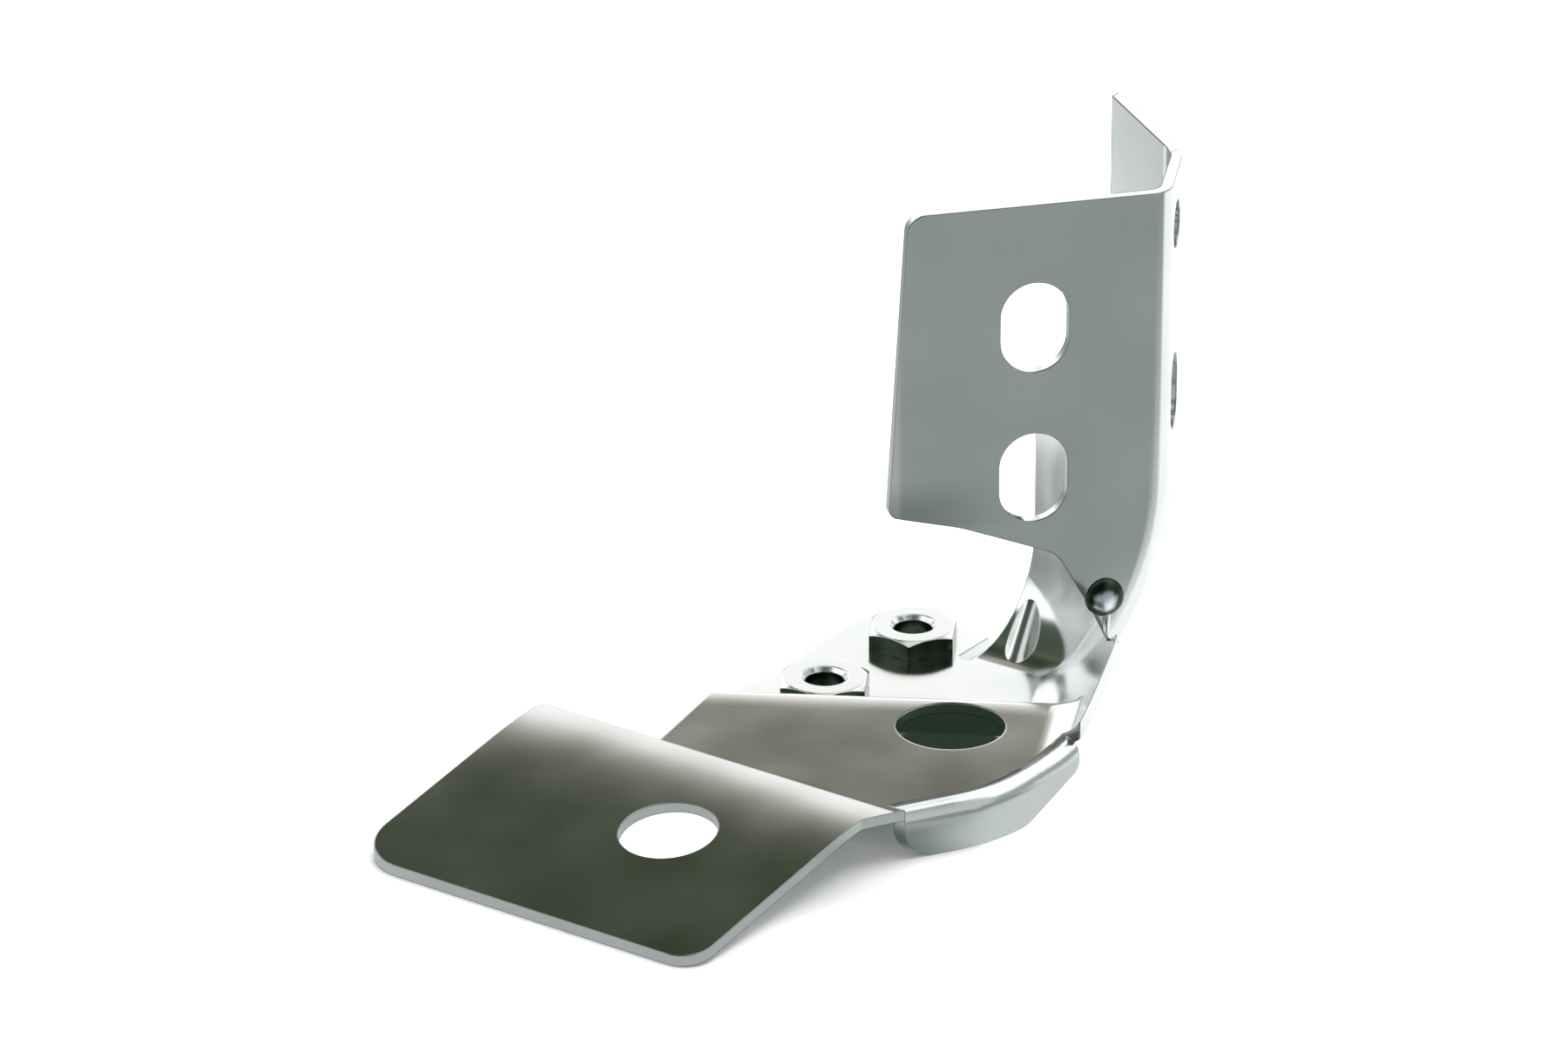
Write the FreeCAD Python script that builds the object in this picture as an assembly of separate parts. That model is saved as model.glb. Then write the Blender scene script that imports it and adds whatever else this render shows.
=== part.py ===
# Fender bracket: one pressed steel stamping with two thin hexagon weld nuts. Millimetres.
#
# The model is drawn on a bench frame: x runs right along the rear wall, y runs back to
# that wall, z runs up from the bench. At the end every piece is turned so that the slotted
# flange is parallel to the XZ plane, and moved so that the origin is the centre of the
# platform hole on the platform's underside.
import FreeCAD, Part
import math
import os

from FreeCAD import Vector

# Overall: the height of the rear wall's tip over the bench, and the length of the foot from
# the rear wall's inner face to the tab's outer edge
OVERALL_HEIGHT = 78.6
FOOT_LENGTH = 106.6

# Sheet
SHEET = 1.5
FOLD_RADIUS = 2.0
REACH = 140.0

# Rear wall and low plate
WALL_WIDTH = 20.5
WALL_TIP_WIDTH = 9.3
WALL_TOP_SLOPE = 31.0
WALL_SHOULDER_LOW = 31.0
WALL_SHOULDER_HIGH = 47.0
WALL_BEND_RADIUS = 13.5
LOW_PLATE_LEFT = 39.5
LOW_PLATE_REAR = 7.3
LOW_PLATE_FRONT = 45.5
LOW_PLATE_CORNER = 3.0
RELIEF_WIDTH = 2.0

# Web between the rear wall and the slotted flange
WEB_ANGLE = 63.3
WEB_WIDTH = 12.7
WEB_BEND_START = 32.7
WEB_BEND_LONG_RADIUS = 45.0
WEB_BEND_SHORT_RADIUS = 6.0
WEB_HOLE_DIAMETER = 6.3
WEB_HOLE_HEIGHT = 65.8
WEB_SLOT_WIDTH = 6.3
WEB_SLOT_LENGTH = 10.2
WEB_SLOT_HEIGHT = 42.7
WEB_HOLE_SET = 6.4

# Slotted flange
FLANGE_ANGLE = 66.7
FLANGE_WIDTH = 35.6
FLANGE_FLARE = 2.3
FLANGE_LOW = 32.0
FLANGE_LOW_CURVE = ((26.2, -2.4, 20.0), (13.4, -7.4, 4.0), (8.6, -16.0, 6.0))
FLANGE_CORNER = 2.4
FLANGE_FOOT_CORNER = 1.2
FLANGE_ROLL_WIDTH = 2.4
FLANGE_ROLL_ANGLE = 9.0
FLANGE_ROLL_RADIUS = 6.0
SLOT_WIDTH = 9.0
SLOT_LENGTH = 12.2
SLOT_SPACING = 20.7
SLOT_TOP_HEIGHT = 56.3
SLOT_SET = 16.6
FLANGE_TIP_SET = 6.0
FLANGE_TIP_HEIGHT = 10.5
FLANGE_FOLD_LAP = 2.0

# Raised platform and the step down to the low plate
PLATFORM_TOP = 7.0
STEP_ANGLE = 60.0
CREST_TURN = 30.7
CREST_RIGHT = (2.5, -27.6)
CREST_RADIUS = 3.0
STEP_FOOT_RADIUS = 1.2
PLATFORM_HOLE_DIAMETER = 14.0
PLATFORM_HOLE_AT = (-4.5, -42.2)
PLATFORM_LEFT_FRONT = (-31.8, -69.0)
PLATFORM_LEFT_REAR = (-35.5, -50.2)
EDGE_START = -71.0
EDGE_CORNERS = ((11.9, -53.9, 25.0), (11.9, -35.5, 25.0), (8.6, -23.5, 12.0))

# Down-turned lip under the platform's front edge
LIP_FRONT = -65.8
LIP_MIDDLE = -49.0
LIP_REAR = -37.0
LIP_REAR_HEIGHT = 3.6
LIP_FOLD_RADIUS = 2.3
LIP_LEFT = -12.0
LIP_CORNER = 4.0
LIP_LONG_CORNER = 10.0
LIP_SHORT_CORNER = 1.5

# Where the two halves of the block under the raised part meet, how wide it is drawn, and
# how far it reaches into the web's bend so that the two cross cleanly
BLOCK_SPLIT = -58.0
BLOCK_LEFT = 60.0
BLOCK_WIDTH = 85.0
BLOCK_LAP = 0.1

# Sloping tab: its rear edge lies where the wide bend of the ridge starts
TAB_REAR = 67.0
RIDGE_SET = 72.0
RIDGE_RADIUS = 70.0
TAB_LEFT = 51.0
TAB_RIGHT = 2.0
TAB_HOLE_DIAMETER = 12.6
TAB_HOLE_FROM_RIDGE = 12.6
TAB_HOLE_FROM_RIGHT = 20.1
TAB_REAR_CORNER = 1.5
TAB_LEFT_CORNER = 7.0
TAB_RIGHT_CORNER = 4.0

# Stiffening dart across the wall bend, a narrow rib that tapers towards its top
DART_SET = 17.3
DART_LEAN = 30.0
DART_TURN = 20.0
DART_LOW_RADIUS = 3.2
DART_HIGH_RADIUS = 1.8

# Weld nuts
NUT_FLATS = 11.0
NUT_HEIGHT = 2.5
NUT_BORE = 5.0
NUT_CHAMFER_ANGLE = 30.0
NUT_PILOT_DIAMETER = 7.0
NUT_PILOT_DEPTH = 1.0
NUT_PILOT_CLEARANCE = 0.15
NUT_FACE_SHARE = 0.98
NUT_LEAD = 0.6
NUT_REAR_AT = (-30.0, -14.1)
NUT_PITCH = 19.9

WALL_TIP_RISE = WALL_TIP_WIDTH * math.tan(math.radians(WALL_TOP_SLOPE))
WALL_TOP = OVERALL_HEIGHT - WALL_TIP_RISE
TAB_SLOPE = math.degrees(math.atan((PLATFORM_TOP - SHEET) / (FOOT_LENGTH - RIDGE_SET)))
FLANGE_HEADING = 180.0 + (180.0 - WEB_ANGLE - FLANGE_ANGLE)


def heading(angle):
    """Return the level unit vector at an angle from the x axis."""
    turn = math.radians(angle)
    return Vector(math.cos(turn), math.sin(turn), 0.0)


RIGHT = Vector(1, 0, 0)
BACK = Vector(0, 1, 0)
UP = Vector(0, 0, 1)
WEB_ALONG = heading(-WEB_ANGLE)
WEB_INWARD = heading(-WEB_ANGLE - 90.0)
FLANGE_ALONG = heading(FLANGE_HEADING)
FLANGE_OUTWARD = heading(FLANGE_HEADING + 90.0)
CREST_ALONG = heading(CREST_TURN)
CREST_BACK = heading(CREST_TURN + 90.0)
FLANGE_TIP = WEB_ALONG * WEB_WIDTH + FLANGE_ALONG * FLANGE_TIP_SET


def turn_to(centre, radius, start, end):
    """Return an arc item, by its middle and end, for a profile."""
    points = []
    for angle in ((start + end) / 2.0, end):
        turn = math.radians(angle)
        points.append((centre[0] + radius * math.cos(turn), centre[1] + radius * math.sin(turn)))
    return ("arc", points[0], points[1])


def flat(items, origin, across, up):
    """Fill a closed profile of points and arcs, drawn on two axes."""
    def place(point):
        return origin + across * point[0] + up * point[1]

    edges = []
    here = items[0]
    for item in items[1:] + [items[0]]:
        if item[0] == "arc":
            edges.append(Part.Arc(place(here), place(item[1]), place(item[2])).toShape())
            here = item[2]
        else:
            edges.append(Part.LineSegment(place(here), place(item)).toShape())
            here = item
    return Part.Face(Part.Wire(edges))


def prism(items, origin, across, up, along):
    """Extrude a closed profile of points and arcs along a third axis."""
    return flat(items, origin, across, up).extrude(along)


def rounded(corners):
    """Turn corners of x, y and radius into profile items with tangent arcs."""
    items = []
    for index, (x, y, radius) in enumerate(corners):
        here = Vector(x, y, 0)
        before = (Vector(*corners[index - 1][:2], 0) - here).normalize()
        after = (Vector(*corners[(index + 1) % len(corners)][:2], 0) - here).normalize()
        if radius == 0:
            items.append((x, y))
            continue
        half = before.getAngle(after) / 2.0
        start = here + before * (radius / math.tan(half))
        end = here + after * (radius / math.tan(half))
        bisector = (before + after).normalize()
        middle = here + bisector * (radius / math.sin(half) - radius)
        items.append((start.x, start.y))
        items.append(("arc", (middle.x, middle.y), (end.x, end.y)))
    return items


def longest_edge(shape, along, test):
    """Return the longest straight edge along a direction whose middle passes a test."""
    found = []
    for edge in shape.Edges:
        ends = [vertex.Point for vertex in edge.Vertexes]
        span = ends[-1] - ends[0]
        if abs(span.Length - edge.Length) > 1e-6 or edge.Length < SHEET:
            continue
        if abs(span.dot(along)) > 0.9999 * span.Length and test((ends[0] + ends[-1]) * 0.5):
            found.append(edge)
    return max(found, key=lambda edge: edge.Length)


# Every skin surface is the edge of a space. A grow of 0 gives the space over the sheet's
# upper face and a grow of SHEET the space over its lower face: the sheet lies between.
def web_turn(floor):
    """Return where the web's long bend hands over to the short one, and its centres."""
    reach = WEB_BEND_LONG_RADIUS - WEB_BEND_SHORT_RADIUS
    turn = math.asin((WEB_BEND_START - floor - WEB_BEND_SHORT_RADIUS) / reach)
    short_centre = (WEB_BEND_LONG_RADIUS - reach * math.cos(turn), floor + WEB_BEND_SHORT_RADIUS)
    return math.degrees(turn), (WEB_BEND_LONG_RADIUS, WEB_BEND_START), short_centre


def web_space(floor, grow):
    """Return the space inside the web and its bend down to a floor."""
    turn, long_centre, short_centre = web_turn(floor)
    profile = [
        (-grow, REACH), (-grow, WEB_BEND_START),
        turn_to(long_centre, WEB_BEND_LONG_RADIUS + grow, 180.0, 180.0 + turn),
        turn_to(short_centre, WEB_BEND_SHORT_RADIUS + grow, 180.0 + turn, 270.0),
        (REACH, floor - grow), (REACH, REACH)]
    return prism(profile, WEB_ALONG * -REACH, WEB_INWARD, UP, WEB_ALONG * 2 * REACH)


def wall_space(grow):
    """Return the space before the rear wall and over the low plate, which runs on beside it."""
    centre = (WALL_BEND_RADIUS, SHEET + WALL_BEND_RADIUS)
    profile = [
        (-grow, REACH), (-grow, centre[1]),
        turn_to(centre, WALL_BEND_RADIUS + grow, 180.0, 270.0),
        (REACH, SHEET - grow), (REACH, REACH)]
    relief = WALL_WIDTH + RELIEF_WIDTH / 2.0
    wall = prism(profile, RIGHT * -relief, BACK * -1, UP, RIGHT * REACH)
    side = Vector(-REACH, -REACH, SHEET - grow)
    beside = Part.makeBox(REACH - relief, 2 * REACH, REACH - side.z, side)
    return wall.fuse(beside).removeSplitter()


def step_space(grow):
    """Return the space behind the slanted face of the step."""
    slope = math.tan(math.radians(STEP_ANGLE))
    forward = grow / math.sin(math.radians(STEP_ANGLE))

    def at(height):
        return ((PLATFORM_TOP - height) / slope - forward, height)

    profile = [at(-REACH), at(REACH), (REACH, REACH), (REACH, -REACH)]
    origin = Vector(*CREST_RIGHT, 0) - CREST_ALONG * REACH
    return prism(profile, origin, CREST_BACK, UP, CREST_ALONG * 2 * REACH)


def platform_block(grow):
    """Return the block under the platform, with its crest rounded."""
    turn, _, centre = web_turn(PLATFORM_TOP)
    centre = (centre[0] - BLOCK_LAP, centre[1])
    radius = WEB_BEND_SHORT_RADIUS + grow
    leave = math.radians(180.0 + turn)
    tip = (centre[0] + radius * math.cos(leave), centre[1] + radius * math.sin(leave))
    beyond = (tip[0] - math.sin(math.radians(turn)) * 2 * radius,
              tip[1] + math.cos(math.radians(turn)) * 2 * radius)
    profile = [
        (REACH, -REACH), (REACH, PLATFORM_TOP - grow), (centre[0], PLATFORM_TOP - grow),
        turn_to(centre, radius, 270.0, 180.0 + turn), beyond, (beyond[0], -REACH)]
    block = prism(profile, WEB_ALONG * -REACH, WEB_INWARD, UP, WEB_ALONG * 2 * REACH)
    block = block.cut(step_space(grow))
    corner = Vector(-BLOCK_LEFT, BLOCK_SPLIT, -REACH)
    block = block.common(Part.makeBox(BLOCK_WIDTH, REACH, 2 * REACH, corner))
    crest = longest_edge(block, CREST_ALONG, lambda middle: abs(middle.z - PLATFORM_TOP + grow) < 1e-6)
    return block.makeFillet(CREST_RADIUS - grow, [crest])


def tab_block(grow):
    """Return the block under the tab, the ridge and the front of the platform."""
    slope = math.radians(TAB_SLOPE)
    radius = RIDGE_RADIUS - grow
    top = PLATFORM_TOP - grow
    ridge = -RIDGE_SET + grow * math.tan(slope / 2.0)
    centre = (ridge + radius * math.tan(slope / 2.0), top - radius)
    foot = (centre[0] - radius * math.sin(slope), centre[1] + radius * math.cos(slope))
    profile = [
        (BLOCK_SPLIT, top), (centre[0], top),
        turn_to(centre, radius, 90.0, 90.0 + TAB_SLOPE),
        (-REACH, foot[1] - (REACH + foot[0]) * math.tan(slope)), (-REACH, -REACH),
        (BLOCK_SPLIT, -REACH)]
    return prism(profile, RIGHT * -BLOCK_LEFT, BACK, UP, RIGHT * BLOCK_WIDTH)


def skin_space(grow):
    """Return the space over the whole stamping, without the slotted flange."""
    block = platform_block(grow).fuse(tab_block(grow)).removeSplitter().Solids[0]
    space = web_space(SHEET, grow).common(wall_space(grow)).cut(block).Solids[0]
    fold = longest_edge(space, UP, lambda middle: math.hypot(middle.x, middle.y) < 4.0 * SHEET)
    space = space.makeFillet(FOLD_RADIUS + grow, [fold]).Solids[0]
    foot = longest_edge(space, CREST_ALONG, lambda middle: abs(middle.z - SHEET + grow) < 1e-6)
    return space.makeFillet(STEP_FOOT_RADIUS + grow, [foot]).Solids[0]


def fold_corner(grow):
    """Return the plan corner where the web meets the slotted flange."""
    corner = WEB_ALONG * WEB_WIDTH
    lean = math.radians(180.0 - FLANGE_ANGLE)
    return corner - WEB_INWARD * grow + WEB_ALONG * (grow * math.tan((math.pi - lean) / 2.0))


def flange_space(grow):
    """Return the space behind the slotted flange and inside the web, with their fold."""
    roll = math.radians(FLANGE_ROLL_ANGLE)
    start = FLANGE_WIDTH - FLANGE_ROLL_WIDTH
    radius = FLANGE_ROLL_RADIUS + grow
    centre = (start, -FLANGE_ROLL_RADIUS)
    end = (centre[0] + radius * math.sin(roll), centre[1] + radius * math.cos(roll))
    profile = [
        (-REACH, grow), (start, grow),
        turn_to(centre, radius, 90.0, 90.0 - FLANGE_ROLL_ANGLE),
        (end[0] + REACH * math.cos(roll), end[1] - REACH * math.sin(roll)),
        (REACH, -REACH), (-REACH, -REACH)]
    origin = fold_corner(0.0) - UP * REACH
    behind = prism(profile, origin, FLANGE_ALONG, FLANGE_OUTWARD, UP * 2 * REACH)
    space = web_space(SHEET, grow).common(behind).Solids[0]
    corner = fold_corner(grow)
    fold = longest_edge(space, UP, lambda middle: (
        math.hypot(middle.x - corner.x, middle.y - corner.y) < 1e-3))
    return space.makeFillet(FOLD_RADIUS + grow, [fold]).Solids[0]


def slotted_flange():
    """Return the slotted flange with the fold that joins it to the web."""
    shell = flange_space(SHEET).cut(flange_space(0.0))
    lower = [(across, FLANGE_LOW + rise, radius) for across, rise, radius in FLANGE_LOW_CURVE]
    outline = rounded([
        (-WEB_WIDTH, WALL_TOP, 0), (FLANGE_WIDTH - FLANGE_FLARE, WALL_TOP, FLANGE_CORNER),
        (FLANGE_WIDTH, FLANGE_LOW, FLANGE_FOOT_CORNER)] + lower + [
        (FLANGE_TIP_SET, FLANGE_TIP_HEIGHT, 0), (-WEB_WIDTH, FLANGE_TIP_HEIGHT, 0)])
    origin = fold_corner(0.0) + FLANGE_OUTWARD * 2.0 * SHEET
    depth = 2.0 * SHEET + FOLD_RADIUS + FLANGE_FOLD_LAP
    blank = prism(outline, origin, FLANGE_ALONG, UP, FLANGE_OUTWARD * -depth)
    return shell.common(blank)


def slab(outline, low, high):
    """Extrude a plan outline between two heights."""
    return prism(outline, UP * low, RIGHT, BACK, UP * (high - low))


def curve_side(corners):
    """Return the plan face between the platform's curved front edge and some corners."""
    front = (TAB_RIGHT, EDGE_START, 0)
    tip = (FLANGE_TIP.x, FLANGE_TIP.y, 0)
    rest = [(x, y, 0) for x, y in corners]
    return flat(rounded([front, *EDGE_CORNERS, tip] + rest), Vector(0, 0, 0), RIGHT, BACK)


def column(face):
    """Extrude a plan face far up and down."""
    return face.extrude(UP * 2 * REACH).translated(UP * -REACH)


def lip_zone():
    """Return the box in which the sheet is rounded down into the lip."""
    corner = Vector(LIP_LEFT, LIP_FRONT, -REACH)
    return Part.makeBox(BLOCK_WIDTH, LIP_REAR - LIP_FRONT, 2 * REACH, corner)


def lip_block(grow):
    """Return the block under the platform beside the lip, rounded along the lip's fold."""
    block = platform_block(grow).fuse(tab_block(grow)).removeSplitter().common(lip_zone())
    region = curve_side([(-BLOCK_LEFT, FLANGE_TIP.y), (-BLOCK_LEFT, EDGE_START)])
    if grow:
        region = region.makeOffset2D(-grow)
    block = block.common(column(region)).Solids[0]
    rim = []
    for edge in block.Edges:
        middle = edge.valueAt((edge.FirstParameter + edge.LastParameter) / 2.0)
        over = Part.Vertex(middle.x, middle.y, 0).distToShape(region.OuterWire)[0]
        if over < 1e-3 and edge.BoundBox.ZMin > 0 and edge.BoundBox.XMax > 0:
            rim.append(edge)
    return block.makeFillet(LIP_FOLD_RADIUS - grow, rim).Solids[0]


def lip():
    """Return the down-turned lip with the strip of platform behind it."""
    shell = lip_block(0.0).cut(lip_block(SHEET))
    top = 2.0 * PLATFORM_TOP
    outline = rounded([
        (LIP_FRONT, top, 0), (LIP_FRONT, 0, LIP_CORNER), (LIP_MIDDLE, 0, LIP_LONG_CORNER),
        (LIP_REAR, LIP_REAR_HEIGHT, LIP_SHORT_CORNER), (LIP_REAR, top, 0)])
    side = prism(outline, RIGHT * -BLOCK_LEFT, BACK, UP, RIGHT * 2 * BLOCK_LEFT)
    return shell.common(side)


def plan_blanks():
    """Return the plan shape of the tab, and that of the platform, low plate and walls."""
    tab = rounded([
        (-TAB_LEFT, -TAB_REAR, TAB_REAR_CORNER), (-TAB_LEFT, -FOOT_LENGTH, TAB_LEFT_CORNER),
        (TAB_RIGHT, -FOOT_LENGTH, TAB_RIGHT_CORNER), (TAB_RIGHT, -TAB_REAR, 0)])
    bend_end = -WALL_BEND_RADIUS - SHEET
    relief = -WALL_WIDTH - RELIEF_WIDTH
    body = rounded([
        (-WALL_WIDTH, 2 * SHEET, 0), (-WALL_WIDTH, bend_end, RELIEF_WIDTH / 2.2),
        (relief, bend_end, RELIEF_WIDTH / 2.2), (relief, -LOW_PLATE_REAR, 0),
        (-LOW_PLATE_LEFT, -LOW_PLATE_REAR, LOW_PLATE_CORNER),
        (-LOW_PLATE_LEFT, -LOW_PLATE_FRONT, LOW_PLATE_CORNER),
        (*PLATFORM_LEFT_REAR, LOW_PLATE_CORNER),
        (*PLATFORM_LEFT_FRONT, 0), (0, EDGE_START, 0), (BLOCK_LEFT / 2, EDGE_START, 0),
        (BLOCK_LEFT / 2, 2 * SHEET, 0)])
    return slab(tab, -REACH, REACH).fuse(slab(body, -REACH, REACH))


def front_waste():
    """Return what lies outside the platform's front edge and the slotted flange."""
    right = FLANGE_TIP - FLANGE_ALONG * REACH
    left = FLANGE_TIP + FLANGE_ALONG * REACH
    waste = column(curve_side([(right.x, right.y), (REACH, -REACH), (TAB_RIGHT, -REACH)]))
    back = FLANGE_OUTWARD * -FLANGE_FOLD_LAP
    corners = [left, right, right + back, left + back, left]
    strip = Part.Face(Part.makePolygon(corners)).extrude(UP * REACH)
    return waste.fuse(strip.translated(UP * FLANGE_TIP_HEIGHT))


def wall_waste():
    """Return what is cut away above and beside the rear wall."""
    outline = [
        (-REACH, WALL_SHOULDER_LOW), (-WALL_WIDTH, WALL_SHOULDER_LOW),
        (-WALL_TIP_WIDTH, WALL_SHOULDER_HIGH), (-WALL_TIP_WIDTH, OVERALL_HEIGHT),
        (0, WALL_TOP), (REACH, WALL_TOP), (REACH, REACH), (-REACH, REACH)]
    return prism(outline, BACK * -REACH, RIGHT, UP, BACK * 2 * REACH)


def dart(shrink):
    """Return the tapered rod that shapes the dart, its axis on the back of the wall bend."""
    lean = math.radians(DART_LEAN)
    outward = BACK * math.sin(lean) - UP * math.cos(lean)
    along = heading(90.0 + DART_TURN) * math.cos(lean) + UP * math.sin(lean)
    centre = Vector(-DART_SET, -WALL_BEND_RADIUS, SHEET + WALL_BEND_RADIUS)
    start = centre + outward * (WALL_BEND_RADIUS + SHEET) - along * WALL_BEND_RADIUS
    low = DART_LOW_RADIUS - shrink
    high = DART_HIGH_RADIUS - shrink
    return Part.makeCone(low, high, 2 * WALL_BEND_RADIUS, start, along)


def drill(diameter, at, axis):
    """Return a through drill of a diameter, centred on a point of the sheet."""
    return Part.makeCylinder(diameter / 2.0, 6 * SHEET, at - axis * 3 * SHEET, axis)


def slot_cutter(width, length, at, axis):
    """Return an upright slot cutter through a wall whose level normal is given."""
    across = axis.cross(UP)
    half = width / 2.0
    reach = length / 2.0 - half
    outline = [
        (-half, -reach), turn_to((0, -reach), half, 180.0, 360.0),
        (half, reach), turn_to((0, reach), half, 0.0, 180.0)]
    return prism(outline, at - axis * 3 * SHEET, across, UP, axis * 6 * SHEET)


def tab_axis():
    """Return the tab's upward normal."""
    slope = math.radians(TAB_SLOPE)
    return Vector(0, -math.sin(slope), math.cos(slope))


def openings():
    """Return every hole and slot cut through the stamping."""
    slope = math.radians(TAB_SLOPE)
    tab_hole = Vector(
        TAB_RIGHT - TAB_HOLE_FROM_RIGHT,
        -RIDGE_SET - TAB_HOLE_FROM_RIDGE * math.cos(slope),
        PLATFORM_TOP - TAB_HOLE_FROM_RIDGE * math.sin(slope))
    cutters = [drill(TAB_HOLE_DIAMETER, tab_hole, tab_axis())]
    cutters.append(drill(PLATFORM_HOLE_DIAMETER, Vector(*PLATFORM_HOLE_AT, PLATFORM_TOP), UP))
    for place in nut_places():
        cutters.append(drill(NUT_PILOT_DIAMETER + 2 * NUT_PILOT_CLEARANCE, place, UP))
    for index in range(2):
        height = SLOT_TOP_HEIGHT - index * SLOT_SPACING
        at = fold_corner(0.0) + FLANGE_ALONG * SLOT_SET + UP * height
        cutters.append(slot_cutter(SLOT_WIDTH, SLOT_LENGTH, at, FLANGE_OUTWARD))
    web = WEB_ALONG * WEB_HOLE_SET
    cutters.append(drill(WEB_HOLE_DIAMETER, web + UP * WEB_HOLE_HEIGHT, WEB_INWARD))
    cutters.append(slot_cutter(WEB_SLOT_WIDTH, WEB_SLOT_LENGTH, web + UP * WEB_SLOT_HEIGHT, WEB_INWARD))
    return cutters


def stamped_bracket():
    """Return the whole pressed steel stamping."""
    skin = skin_space(SHEET).cut(skin_space(0.0))
    main = skin.common(plan_blanks()).cut(front_waste()).cut(wall_waste())
    body = main.cut(lip_zone()).fuse([lip(), slotted_flange()])
    rib = dart(0.0).common(skin_space(SHEET)).common(plan_blanks())
    body = body.fuse(rib).cut(dart(SHEET))
    body = body.cut(openings()).removeSplitter()
    return max(body.Solids, key=lambda solid: solid.Volume)


def nut_places():
    """Return where the weld nuts sit on the low plate, rear one first."""
    rear = Vector(*NUT_REAR_AT, SHEET)
    return [rear, rear - Vector(0, NUT_PITCH, 0)]


def weld_nut(place):
    """Return a thin hexagon weld nut with its pilot collar down in the low plate."""
    corner = NUT_FLATS / math.sqrt(3.0)
    points = [heading(60.0 * index) * corner for index in range(7)]
    body = Part.Face(Part.makePolygon(points)).extrude(UP * NUT_HEIGHT)
    drop = math.tan(math.radians(NUT_CHAMFER_ANGLE))
    flat = NUT_FLATS / 2.0 * NUT_FACE_SHARE
    reach = 2 * corner
    cone = Part.makeCone(flat + (reach + NUT_HEIGHT) / drop, flat, reach + NUT_HEIGHT, UP * -reach, UP)
    body = body.common(cone)
    pilot = Part.makeCylinder(NUT_PILOT_DIAMETER / 2.0, NUT_PILOT_DEPTH, UP * -NUT_PILOT_DEPTH)
    bore = Part.makeCylinder(NUT_BORE / 2.0, 4 * NUT_HEIGHT, UP * -2 * NUT_HEIGHT)
    wide = NUT_BORE / 2.0 + NUT_LEAD
    lead = Part.makeCone(wide - NUT_HEIGHT, wide, NUT_HEIGHT, Vector(0, 0, 0), UP)
    nut = body.fuse(pilot).removeSplitter().cut([bore, lead])
    return nut.translated(place).Solids[0]


def in_row_frame(shape):
    """Turn and move a piece from the bench frame to the frame it is handed over in."""
    origin = Vector(*PLATFORM_HOLE_AT, PLATFORM_TOP - SHEET)
    moved = shape.translated(origin * -1)
    moved.rotate(Vector(0, 0, 0), UP, 180.0 - FLANGE_HEADING)
    return moved


def main():
    os.makedirs("parts", exist_ok=True)
    nuts = nut_places()
    pieces = {
        "stamped_bracket": stamped_bracket(),
        "weld_nut_rear": weld_nut(nuts[0]),
        "weld_nut_front": weld_nut(nuts[1])}
    for name, shape in pieces.items():
        placed = in_row_frame(shape)
        placed.exportStep(os.path.join("parts", name + ".step"))
        box = placed.BoundBox
        print(name, placed.isValid(), round(placed.Volume, 1), [round(v, 2) for v in (
            box.XMin, box.XMax, box.YMin, box.YMax, box.ZMin, box.ZMax)])


main()
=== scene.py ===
# %% [markdown]
# # A pressed steel fender bracket
# The real object is one blank of steel sheet, pierced and bent in a press, with two thin
# hexagon nuts welded on and a bright plating over everything. The solids come from the CAD
# frame, so this lesson is about what makes bent, plated sheet look real: the plating itself,
# the marks that the press leaves, a bead of weld, and above all what stands around the part,
# because polished metal shows its surroundings and little else.

# %% Load the frame
import bmesh
import bpy
import math
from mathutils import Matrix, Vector, noise


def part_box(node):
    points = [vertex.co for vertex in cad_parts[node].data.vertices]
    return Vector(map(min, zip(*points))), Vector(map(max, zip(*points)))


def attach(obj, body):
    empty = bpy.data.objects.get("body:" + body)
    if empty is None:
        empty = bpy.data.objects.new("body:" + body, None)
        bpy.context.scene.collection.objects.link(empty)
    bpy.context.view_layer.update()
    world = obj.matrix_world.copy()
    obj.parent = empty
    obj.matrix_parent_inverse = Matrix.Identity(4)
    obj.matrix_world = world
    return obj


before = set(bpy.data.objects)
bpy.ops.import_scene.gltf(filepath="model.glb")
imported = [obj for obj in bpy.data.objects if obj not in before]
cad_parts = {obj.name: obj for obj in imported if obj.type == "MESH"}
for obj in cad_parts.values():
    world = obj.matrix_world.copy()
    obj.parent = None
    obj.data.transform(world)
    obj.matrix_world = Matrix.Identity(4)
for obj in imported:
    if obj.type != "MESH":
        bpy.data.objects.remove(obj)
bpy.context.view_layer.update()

print("pieces in the frame:", sorted(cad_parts))

# %% [markdown]
# ## Directions
# The bracket was photographed from one side, a little above the bench. Two directions are
# enough to speak about the scene: across, to the camera's right, and away, level and away
# from the camera. They are named once here and used for the camera and for the surroundings.

# %% Directions of the bench
CAMERA_HEADING = math.radians(75.7)
CAMERA_DOWN = math.radians(24.0)
BENCH_LEVEL = -0.0055
ORIGIN = (0.0, 0.0, 0.0)
UP = Vector((0.0, 0.0, 1.0))
away = Vector((math.cos(CAMERA_HEADING), math.sin(CAMERA_HEADING), 0.0))
across = Vector((away.y, -away.x, 0.0))
print("away", [round(v, 3) for v in away], "across", [round(v, 3) for v in across])

# %% [markdown]
# ## Small helpers for shader nodes
# A material is a graph of nodes. The first helpers add a node, join two sockets and fill a
# colour ramp, so that the cells below read as a list of what the finish is made of.


# %% Node helpers
def add_node(tree, kind, **values):
    """Add a shader node and set its properties by name."""
    node = tree.nodes.new(kind)
    for name, value in values.items():
        setattr(node, name, value)
    return node


def join(tree, source, target):
    """Join an output socket to an input socket."""
    tree.links.new(source, target)


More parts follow.
